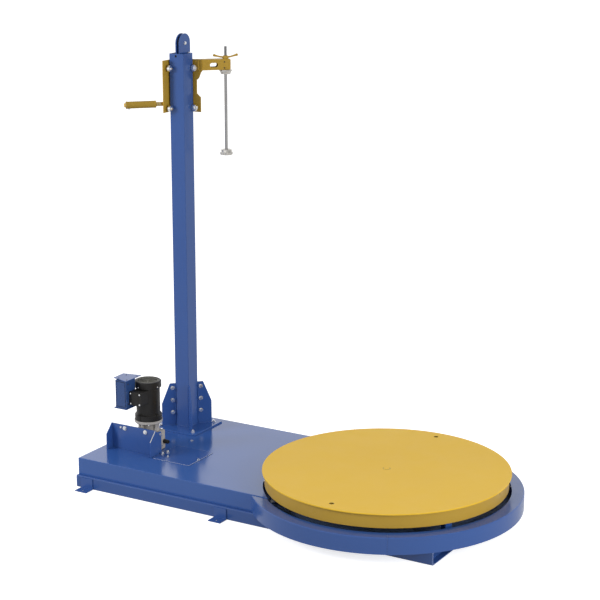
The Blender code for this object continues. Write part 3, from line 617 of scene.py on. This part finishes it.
def guard(name, start, end, cut):
    t = 0.004
    section = [(RING_IN, ring_top - t), (RING_OUT - t - 0.004, ring_top - t), (RING_OUT - t, ring_top - t - 0.004), (RING_OUT - t, ring_low), (RING_OUT, ring_low)]
    section += arc(RING_OUT - 0.006, ring_top - 0.006, 0.006, 0, 90, 6)
    section += [(RING_IN, ring_top)]
    bm = bmesh.new()
    face = bm.faces.new([bm.verts.new((r, 0, z)) for r, z in section])
    bmesh.ops.rotate(bm, verts=bm.verts, cent=(0, 0, 0), matrix=Matrix.Rotation(math.radians(start), 3, "Z"))
    bmesh.ops.spin(bm, geom=[face], cent=(0, 0, 0), axis=(0, 0, 1), angle=math.radians(end - start), steps=round((end - start) / 1.25))
    bmesh.ops.remove_doubles(bm, verts=bm.verts, dist=1e-6)
    if cut:
        # the end under the deck is cut off flush with the deck's side
        y = cut * 0.5503
        geom = bm.verts[:] + bm.edges[:] + bm.faces[:]
        left = [g for g in geom]
        made = bmesh.ops.bisect_plane(bm, geom=left, plane_co=(0, y, 0), plane_no=(0, cut, 0))
        bmesh.ops.delete(bm, geom=[v for v in bm.verts if v.co.x < 0 and v.co.y * cut < y * cut - 1e-6], context="VERTS")
        rim = [e for e in bm.edges if len(e.link_faces) == 1]
        bmesh.ops.holes_fill(bm, edges=rim)
    bmesh.ops.translate(bm, verts=bm.verts, vec=TABLE)
    return piece(name + "_surface", bm, BLUE, "base", (name,), 34)


guard("guard_ring_front", -142, -62.03, -1)
guard("guard_ring_right", -61.97, 61.97, 0)
guard("guard_ring_rear", 62.03, 142, 1)

# ---------------------------------------------------------------- turntable
TABLE_R = 0.750
thick = plate_hi.z - plate_lo.z
plate = turned([(0, TABLE_R - 0.001), (0.001, TABLE_R)] + [(thick - 0.003 + 0.003 * math.sin(math.radians(15 * i)), TABLE_R - 0.003 + 0.003 * math.cos(math.radians(15 * i))) for i in range(7)], Vector((TABLE.x, 0, plate_lo.z)), segments=288, bore=0.0085)
plate_obj = piece("turntable_plate_surface", plate, YELLOW, "table", ("turntable_plate",), 30)
holes = bmesh.new()
sinks = bmesh.new()
for y in (-0.6735, 0.6735):
    turned([(0, 0.010), (0.03, 0.010)], Vector((TABLE.x, y, plate_lo.z - 0.01)), segments=40, bm=holes)
    turned([(0, 0.0142), (0.0060, 0.0142)], Vector((TABLE.x, y, plate_hi.z - 0.0035)), segments=40, bm=sinks)
cut(plate_obj, holes)
cut(plate_obj, sinks)
# near-black rings in the lift holes' countersinks: painted shade that makes the holes read deeper and wider
shade_rings = None
for y in (-0.6735, 0.6735):
    shade_rings = turned([(0, 0.0138), (0.0030, 0.0138)], Vector((TABLE.x, y, plate_hi.z - 0.0034)), segments=40, bore=0.0095, bm=shade_rings)
piece("table_hole_shade_rings", shade_rings, DARK, "table")
skirt_lo, skirt_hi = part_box("turntable_skirt")
skirt = turned([(0, 0.734), (0.001, 0.735), (skirt_hi.z - skirt_lo.z, 0.735)], Vector((TABLE.x, 0, skirt_lo.z)), segments=288, bore=0.730)
piece("turntable_skirt_surface", skirt, YELLOW_SHADED, "table", ("turntable_skirt",), 30)
cap = turned([(-0.004, 0.0205), (0.0006, 0.0205), (0.0012, 0.0199), (0.0012, 0.004), (0.0002, 0.0035)], Vector((TABLE.x, 0, TABLE_TOP)), segments=64)
piece("turntable_center_cap", cap, YELLOW, "table")
seam = turned([(-0.003, 0.0228), (0.0003, 0.0228), (0.0005, 0.0222), (0.0003, 0.0208)], Vector((TABLE.x, 0, TABLE_TOP)), segments=64, bore=0.0206)
piece("turntable_center_seam", seam, OILED, "table")

# ---------------------------------------------------------------- mast
mast = finished("mast_tube", BLUE, 0.0006, 2, 60, sharp=50)
opening = turned([(0, 0.0075), (0.03, 0.0075)], Vector((MAST.x - 0.003, mast_lo.y - 0.015, 2.636)), Y, 32)
cut(mast, opening)
grommet = turned([(0, 0.0074), (0.0015, 0.0074), (0.0030, 0.0060)], Vector((MAST.x - 0.003, mast_lo.y + 0.0048, 2.636)), -Y, 32)
piece("mast_hole_plug", grommet, DARK, "base")
finished("mast_base_plate", DECK_LIGHTENED, 0.0012)
for name in ("mast_wing_left", "mast_wing_right", "mast_wing_front"):
    finished(name, BLUE, 0.0010)
finished("pulley_ear_far", BLUE, 0.0008)
finished("pulley_ear_near", BLUE, 0.0006)
finished("lift_sheave", OILED, 0.0004)
finished("counterweight", OILED, 0.002)
pin = Vector((0, MAST.y + 0.0155, 2.714))
pin_ends = turned([(0, 0.0112), (0.0012, 0.0112), (0.0014, 0.0098), (0.0060, 0.0098), (0.0072, 0.0084)], pin + X * (MAST.x + 0.0206), X, 32)
turned([(0, 0.0100), (0.0012, 0.0104), (0.0024, 0.0100)], pin + X * (MAST.x - 0.0117), -X, 32, bm=pin_ends)
piece("sheave_pin_ends", pin_ends, ZINC, "base")

wing_bolts = bmesh.new()
for number, (angle, face) in enumerate(((225, -1), (225, 1), (45, -1), (45, 1))):
    d = Vector((math.cos(math.radians(angle)), math.sin(math.radians(angle)), 0))
    n = Vector((-d.y, d.x, 0)) * face
    for k, z in enumerate((0.4515, 0.368, 0.2845)):
        spot = MAST + d * 0.0943 + n * 0.0041 + Z * z
        if n.y < 0 or n.x > 0:
            bolt(wing_bolts, spot, n, 12, 0.3 + 0.5 * k + number, washer=0.0145)
        else:
            bolt(wing_bolts, spot, n, 12, 0.7 * k + number, washer=0.0125, stud=0.008)
piece("wing_bolts", wing_bolts, ZINC, "base")

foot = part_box("mast_base_plate")[1].z
anchor = bmesh.new()
for sx in (-1, 1):
    for sy in (-1, 1):
        bolt(anchor, MAST + X * (sx * 0.1285) + Y * (sy * 0.1235) + Z * foot, Z, 12, 0.4 + sx + 2 * sy, washer=0.0135, stud=0.006)
piece("base_plate_bolts", anchor, ZINC, "base")

welds = bmesh.new()
half = MAST_W / 2
for sx, sy, dx, dy in ((-1, -1, 1, 0), (1, -1, 0, 1), (1, 1, -1, 0), (-1, 1, 0, -1)):
    a = MAST + Vector((sx * half, sy * half, foot + 0.001))
    b = a + Vector((dx * 2 * half, dy * 2 * half, 0))
    weld_line(welds, a + (b - a) * 0.06, a + (b - a) * 0.94, 0.0034, sx + 2 * sy)
for number, angle in enumerate((225, 45, -45)):
    d = Vector((math.cos(math.radians(angle)), math.sin(math.radians(angle)), 0))
    n = Vector((-d.y, d.x, 0))
    for side in (-1, 1):
        start = MAST + d * 0.0748 + n * (side * 0.0045)
        weld_line(welds, start + Z * (foot + 0.004), start + Z * 0.478, 0.0030, number + side)
        start = MAST + n * (side * 0.0045) + Z * (foot + 0.001)
        weld_line(welds, start + d * 0.080, start + d * 0.163, 0.0032, 3 * number + side)
piece("mast_welds", welds, BLUE, "base", sharp=80)

# ---------------------------------------------------------------- carriage
bracket_obj = finished("carriage_bracket", YELLOW_SHADED, 0.0009)
finished("carriage_arm", YELLOW_SHADED, 0.0012)
finished("handle_bar", YELLOW, 0.0008)
for a in ("upper", "lower"):
    for b in ("left", "right"):
        finished(f"guide_roller_{a}_{b}", ZINC, 0.0008, 3)

axle_ends = bmesh.new()
for level in (2.558, 2.306):
    right = MAST + Vector((0.0743, 0, level))
    bolt(axle_ends, right + Y * 0.0247, -Y, 10, 0.2 + level, washer=0.0125)
    hexagon(right + Y * 0.0682, Y, 0.0170, 0.0092, 0.4 + level, axle_ends)
    left = MAST + Vector((0, -0.0743, level))
    bolt(axle_ends, left - X * 0.0268, X, 10, 0.5 + level, washer=0.0125)
    hexagon(left - X * 0.0682, -X, 0.0170, 0.0092, 0.1 + level, axle_ends)
piece("guide_axle_ends", axle_ends, ZINC, "carriage")

corner = Vector((mast_hi.x, mast_hi.y, 0))
hand = Vector((mast_lo.x, mast_lo.y, 0))


def on_arm(a, p, z):
    return corner + DIAG * a + FACE * p + Z * z


def on_handle(a, p, z):
    return hand - DIAG * a + FACE * p + Z * z


studs = bmesh.new()
for z in (2.5908, 2.5534):
    button(studs, on_arm(0.197, 0.0352, z), FACE, 0.0048, 0.0024)
    button(studs, on_arm(0.197, -0.0152, z), -FACE, 0.0048, 0.0024)
for p in (-0.004, 0.024):
    button(studs, on_arm(0.2372, p, 2.575), DIAG, 0.0042, 0.0022)
piece("arm_screws", studs, OILED, "carriage")

weld = bmesh.new()
weld_line(weld, on_arm(0.030, 0.0352, 2.541), on_arm(0.030, 0.0352, 2.609), 0.0022, 0.4)
weld_line(weld, Vector((mast_lo.x - 0.0685, MAST.y + 0.060, 2.290)) + X * 0.053, Vector((mast_lo.x - 0.0685, MAST.y + 0.060, 2.600)) + X * 0.053, 0.0020, 1.4)
piece("carriage_welds", weld, YELLOW_SHADED, "carriage", sharp=80)

# grip: a thick sleeve with end collars and shallow finger rings
HZ = 2.334
rows = [(0, 0.0195), (0.0018, 0.0222), (0.0040, 0.0230), (0.0075, 0.0230), (0.0095, 0.0219)]
for i in range(9):
    h = 0.018 + 0.018 * i
    rows += [(h - 0.0060, 0.0221), (h - 0.0012, 0.0221), (h, 0.0214), (h + 0.0012, 0.0221)]
rows += [(0.1815, 0.0219), (0.1835, 0.0233), (0.1885, 0.0236), (0.1910, 0.0228), (0.1925, 0.0200)]
grip = turned(rows, on_handle(0.0895, 0, HZ), -DIAG, 72, bore=0.0084)
piece("handle_grip_surface", grip, GRIP, "carriage", ("handle_grip",), 30)
end = turned([(0, 0.0162), (0.0018, 0.0162), (0.0019, 0.0120)], on_handle(0.2826, 0, HZ), -DIAG, 40)
hexagon(on_handle(0.2840, 0, HZ), -DIAG, 0.0230, 0.0076, 0.3, end)
bolt(end, on_handle(0.262, 0, HZ - 0.0212), -Z, 8, 0.7, washer=0.0095)
piece("handle_end_bolts", end, ZINC, "carriage")
collar = thread(on_handle(0.0560, 0, HZ), -DIAG, 0.0128, 0.032, 0.0040)
piece("handle_collar", collar, CREAM, "carriage")

# film rod: plain below the arm, threaded where the wing nut runs
rod_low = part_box("film_rod")[0].z
rod = turned([(0, 0.0080), (0.0015, 0.0095), (0.3180, 0.0095), (0.3190, 0.0088), (0.3220, 0.0088), (0.3230, 0.0095), (0.5420, 0.0095)], ROD + Z * rod_low, Z, 64)
piece("film_rod_surface", rod, STEEL, "carriage", ("film_rod",), 30)
upper = thread(ROD + Z * (rod_low + 0.5415), Z, 0.0094, 0.1560, 0.0025)
piece("film_rod_thread", upper, THREADED, "carriage")
low_nut = hexagon(ROD + Z * (rod_low - 0.0000), Z, 0.0270, 0.0038, 0.2)
piece("film_rod_end_nut", low_nut, ZINC, "carriage")

cone_low = cone_lo.z
cone = lobed([(0.0000, 0.0250, 0), (0.0006, 0.0300, 0), (0.0030, 0.0322, 0.0012), (0.0120, 0.0340, 0.0016), (0.0150, 0.0352, 0.0010), (0.0185, 0.0396, 0), (0.0200, 0.0406, 0), (0.0262, 0.0408, 0), (0.0280, 0.0396, 0), (0.0270, 0.0200, 0), (0.0280, 0.0180, 0)], ROD + Z * cone_low, 16, bore=0.0096)
piece("film_cone_surface", cone, ALLOY, "film_holder", ("film_cone",), 28)
disc_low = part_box("film_disc")[0].z
disc = lobed([(0.0000, 0.0300, 0), (0.0008, 0.0385, 0.0016), (0.0030, 0.0405, 0.0030), (0.0150, 0.0408, 0.0034), (0.0170, 0.0400, 0.0026), (0.0185, 0.0372, 0), (0.0215, 0.0360, 0), (0.0330, 0.0346, 0), (0.0352, 0.0330, 0), (0.0352, 0.0215, 0), (0.0300, 0.0200, 0), (0.0300, 0.0170, 0), (0.0360, 0.0160, 0)], ROD + Z * disc_low, 18, bore=0.0096)
piece("film_disc_surface", disc, ALLOY, "film_holder", ("film_disc",), 28)

# wing nut: a domed hub and two lobed wings that thin towards the hub
nut_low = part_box("wing_nut")[0].z
nut = turned([(0, 0.0182), (0.0012, 0.0190), (0.0060, 0.0186), (0.0120, 0.0168), (0.0180, 0.0150), (0.0200, 0.0138)], ROD + Z * nut_low, Z, 64, bore=0.0096)
for side in (-1, 1):
    lobe = arc(0.0735, 0.0225, 0.0080, -100, 110, 14)
    outline = [(0.0120, 0.0030), (0.0300, 0.0062), (0.0550, 0.0118)] + lobe + [(0.0560, 0.0235), (0.0330, 0.0170), (0.0120, 0.0150)]
    if side < 0:
        outline = [(-p, q) for p, q in outline[::-1]]
    prism(outline, -0.0042, 0.0042, lambda p, q, h: ROD + DIAG * p + FACE * h + Z * (nut_low + q), 0.0022, nut, 3)
piece("wing_nut_surface", nut, YELLOW_SHADED, "locking_nut", ("wing_nut",), 30)

# ---------------------------------------------------------------- gearmotor
AX = T(-1.616, -0.180, 0)
finished("motor_bracket", BLUE, 0.0010)
housing = finished("gearbox_housing", CAST, 0)
cut(housing, turned([(0, 0.120), (0.030, 0.120)], AX + Z * 0.3866, Z, 24))
side_bolts = bmesh.new()
for x, size, roll in ((-1.7350, 12, 0.3), (-1.5765, 12, 0.9)):
    bolt(side_bolts, T(x, -0.2752, 0.327), -Y, size, roll, washer=0.0140)
bolt(side_bolts, T(-1.7660, -0.2752, 0.329), -Y, 6, 0.5, washer=0.0070)
bolt(side_bolts, T(-1.4954, -0.2300, 0.312), X, 8, 0.4, washer=0.0090)
for x, y, size in ((-1.4713, -0.2395, 12), (-1.4612, -0.1964, 12), (-1.4109, -0.2693, 8)):
    bolt(side_bolts, T(x, y, DECK + 0.0001), Z, size, x * 9, washer=0.0012 * size, stud=0.010)
for x, y, size in ((-1.2171, -0.2158, 8), (-1.4625, 0.0786, 8)):
    bolt(side_bolts, T(x, y, DECK + 0.0042 * (y < 0) + 0.0001), Z, size, x * 7, washer=0.0095)
piece("drive_fasteners", side_bolts, ZINC, "base")
# a thin zinc strip along the sloping front edge of the right side plate: its bright metal is a painted highlight on
# that edge
highlight_strip = prism([(-0.3337, 0.2875), (-0.2763, 0.3471), (-0.2771, 0.3479), (-0.3344, 0.2883)], -1.5012, -1.4958, lambda p, q, h: T(h, p, q))
piece("bracket_edge_highlight_strip", highlight_strip, ZINC, "base")

gear = bmesh.new()
for i in range(4):
    t = math.radians((-86, -22, 94, 158)[i])
    out, side = Vector((math.cos(t), math.sin(t), 0)), Vector((-math.sin(t), math.cos(t), 0))
    prism([(0.062, 0.306), (0.076, 0.306), (0.086, 0.372), (0.062, 0.372)], -0.0045, 0.0045, lambda p, q, h, out=out, side=side: AX + out * p + side * h + Z * q, 0.0015, gear)
turned([(0, 0.0870), (0.0020, 0.0892), (0.0160, 0.0897), (0.0175, 0.0885)], AX + Z * 0.3692, Z, 96, bm=gear)
box(T(-1.7000, -0.2500, 0.3078), T(-1.5340, -0.1300, 0.3128), 0.0022, gear, 3)
turned([(0, 0.062), (0.0060, 0.060), (0.0075, 0.057)], T(-1.616, -0.1102, 0.245), Y, 72, bm=gear)
turned([(0, 0.050), (0.0030, 0.048)], T(-1.5302, -0.1880, 0.250), X, 64, bm=gear)
piece("gearbox_covers", gear, CAST, "base")
gear_bolts = bmesh.new()
for i in range(6):
    t = math.radians(5.5 + 60 * i)
    bolt(gear_bolts, AX + Vector((0.0770 * math.cos(t), 0.0770 * math.sin(t), 0.3692)), -Z, 8, t, washer=0.0085)
for x in (-1.690, -1.545):
    for y in (-0.240, -0.140):
        bolt(gear_bolts, T(x, y, 0.3128), Z, 8, x + y, washer=False)
for i in range(6):
    t = math.radians(60 * i)
    bolt(gear_bolts, T(-1.616 + 0.051 * math.cos(t), -0.1027, 0.245 + 0.051 * math.sin(t)), Y, 6, t, washer=False)
    bolt(gear_bolts, T(-1.5272, -0.1880 + 0.041 * math.cos(t), 0.250 + 0.041 * math.sin(t)), X, 6, t, washer=False)
piece("gearbox_bolts", gear_bolts, ZINC, "base")
plug = turned([(0, 0.0130), (0.006, 0.0140), (0.020, 0.0140), (0.022, 0.0125), (0.036, 0.0120), (0.040, 0.0100), (0.040, 0.0060), (0.034, 0.0055)], T(-1.5302, -0.1420, 0.2380), X, 48)
hexagon(T(-1.5200, -0.1420, 0.2380), X, 0.0260, 0.0090, 0.2, plug)
piece("gearbox_plug", plug, BLACK, "base")

# motor: pressed shell between a lower bell with four bolt lugs and a fan cover with a slotted grille
base_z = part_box("motor_body")[0].z
bell = -0.0135
shell = turned([(bell, 0.0835), (bell + 0.0015, 0.0857), (0.0200, 0.0857), (0.0235, 0.0835), (0.0270, 0.0765), (0.0285, 0.0752), (0.0400, 0.0755), (0.0405, 0.0748), (0.0425, 0.0748), (0.0430, 0.0755), (0.1880, 0.0755), (0.1885, 0.0748), (0.1905, 0.0748), (0.1910, 0.0755), (0.2004, 0.0755)], AX + Z * base_z, Z, 128)
for i in range(4):
    t = math.radians(-9.5 + 90 * i)
    out, side = Vector((math.cos(t), math.sin(t), 0)), Vector((-math.sin(t), math.cos(t), 0))
    prism([(0.070, bell + 0.0005), (0.0875, bell + 0.0005), (0.0895, bell + 0.0030), (0.0895, 0.0225), (0.0870, 0.0260), (0.070, 0.0300)], -0.0110, 0.0110, lambda p, q, h, out=out, side=side: AX + out * p + side * h + Z * (base_z + q), 0.0022, shell, 3)
    own = AX + out * 0.0815 + Z * (base_z + 0.0258)
    bolt(shell, own, Z, 6, t, washer=False)
for k in range(5):
    t = math.radians(100 + 7 * k)
    box(AX + Vector((-0.0815, -0.012 + 0.006 * k, base_z + 0.060)), AX + Vector((-0.0745, -0.0095 + 0.006 * k, base_z + 0.150)), 0.0008, shell)
piece("motor_shell", shell, BLACK, "base", ("motor_body",), 28)

hood_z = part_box("motor_fan_cover")[0].z
hood_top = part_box("motor_fan_cover")[1].z - hood_z
hood = turned([(0, 0.0853), (0.0008, 0.0855), (0.0340, 0.0855)] + [(0.0340 + 0.0070 * math.sin(math.radians(15 * i)), 0.0785 + 0.0070 * math.cos(math.radians(15 * i))) for i in range(1, 7)] + [(hood_top - 0.0010, 0.0740), (hood_top - 0.0012, 0.0700)], AX + Z * hood_z, Z, 128, bore=0.0690)
piece("fan_cover_rim", hood, BLACK, "base", ("motor_fan_cover",), 28)
grille = bmesh.new()
rings = [0.0, 0.012, 0.0155, 0.0190, 0.0235, 0.0270, 0.0315, 0.0350, 0.0395, 0.0430, 0.0475, 0.0510, 0.0555, 0.0590, 0.0700]
count = 96
hub_point = grille.verts.new((0, 0, 0))
grid = []
for r in rings[1:]:
    grid.append([grille.verts.new((r * math.cos(2 * math.pi * i / count), r * math.sin(2 * math.pi * i / count), -0.0016 * (r / 0.07) ** 4)) for i in range(count)])
for i in range(count):
    j = (i + 1) % count
    grille.faces.new((hub_point, grid[0][i], grid[0][j]))
    for k in range(len(grid) - 1):
        slot = k % 2 == 1 and (i % 16) not in (0, 1)
        if not slot:
            grille.faces.new((grid[k][i], grid[k + 1][i], grid[k + 1][j], grid[k][j]))
made = bmesh.ops.extrude_face_region(grille, geom=grille.faces[:])
bmesh.ops.translate(grille, vec=(0, 0, -0.0016), verts=[v for v in made["geom"] if isinstance(v, bmesh.types.BMVert)])
bmesh.ops.translate(grille, vec=AX + Z * (hood_z + hood_top - 0.0004), verts=grille.verts)
piece("fan_cover_grille", grille, COVER, "base")
fan = turned([(0, 0.0680), (0.002, 0.0680)], AX + Z * (hood_z + 0.010), Z, 64)
for i in range(8):
    t = math.radians(45 * i)
    out, side = Vector((math.cos(t), math.sin(t), 0)), Vector((-math.sin(t), math.cos(t), 0))
    prism([(0.015, 0.010), (0.066, 0.010), (0.066, 0.026), (0.015, 0.030)], -0.0012, 0.0012, lambda p, q, h, out=out, side=side: AX + out * p + side * h + Z * (hood_z + q), 0.0, fan)
piece("cooling_fan", fan, DARK, "base")
hood_screws = bmesh.new()
for i in range(4):
    t = math.radians(-9.5 + 90 * i)
    out = Vector((math.cos(t), math.sin(t), 0))
    button(hood_screws, AX + out * 0.0853 + Z * (hood_z + 0.0085), out, 0.0050, 0.0028)
piece("fan_cover_screws", hood_screws, ZINC, "base")

# conduit box: body, gasket, pressed cover and four screws
finished("conduit_box", BLACK, 0.0012)
gasket = prism(rounded(-0.0455, -0.0440, 0.0455, 0.0440, 0.0075), 0.0, 0.0010, lambda p, q, h: T(-1.615 + p, -0.3201 - h, 0.5525 + q))
piece("conduit_gasket", gasket, DARK, "base")
face = prism(rounded(-0.0460, -0.0445, 0.0460, 0.0445, 0.0080), 0.0, 0.0022, lambda p, q, h: T(-1.615 + p, -0.3211 - h, 0.5525 + q), 0.0009)
prism(rounded(-0.0240, -0.0300, 0.0240, 0.0300, 0.0060), 0.0, 0.0018, lambda p, q, h: T(-1.615 + p, -0.3231 - h, 0.5525 + q), 0.0008, face)
piece("conduit_cover", face, BLACK, "base")
screws = bmesh.new()
for x in (-1.6490, -1.5810):
    for z in (0.5195, 0.5850):
        button(screws, T(x, -0.3233, z), -Y, 0.0062, 0.0032)
piece("conduit_screws", screws, ZINC, "base")

# control box: folded case, raised door with a gap round it, hinges and its overhanging lid
finished("control_box", BOX_SHADED, 0.0010)
# a near-black sheet just behind the door, showing round its edge as the gap: painted shade
gap_shade = prism(rounded(-0.0345, -0.0815, 0.0345, 0.0815, 0.0040), 0.0, 0.0004, lambda p, q, h: T(-1.70275 + p, -0.3511 - h, 0.5790 + q))
piece("control_box_gap_shade", gap_shade, DARK, "base")
door = prism(rounded(-0.0320, -0.0790, 0.0320, 0.0790, 0.0030), 0.0, 0.0020, lambda p, q, h: T(-1.70275 + p, -0.3511 - h, 0.5790 + q), 0.0008)
for z in (0.530, 0.628):
    turned([(0, 0.0026), (0.001, 0.0030), (0.017, 0.0030), (0.018, 0.0026)], T(-1.7380, -0.3530, z), Z, 20, bm=door)
piece("control_box_door", door, BOX_SHADED, "base")
finished("control_box_lid", BLUE, 0.0018, 3)
lid_screws = bmesh.new()
for x, y in ((-1.7350, -0.3250), (-1.6680, -0.3330), (-1.7350, -0.2450), (-1.6680, -0.2300)):
    button(lid_screws, T(x, y, 0.6735), Z, 0.0042, 0.0020)
button(lid_screws, T(-1.6614, -0.3300, 0.6450), X, 0.0045, 0.0022)
button(lid_screws, T(-1.6614, -0.3300, 0.5150), X, 0.0045, 0.0022)
piece("control_box_screws", lid_screws, OILED, "base")

# ---------------------------------------------------------------- close
import json
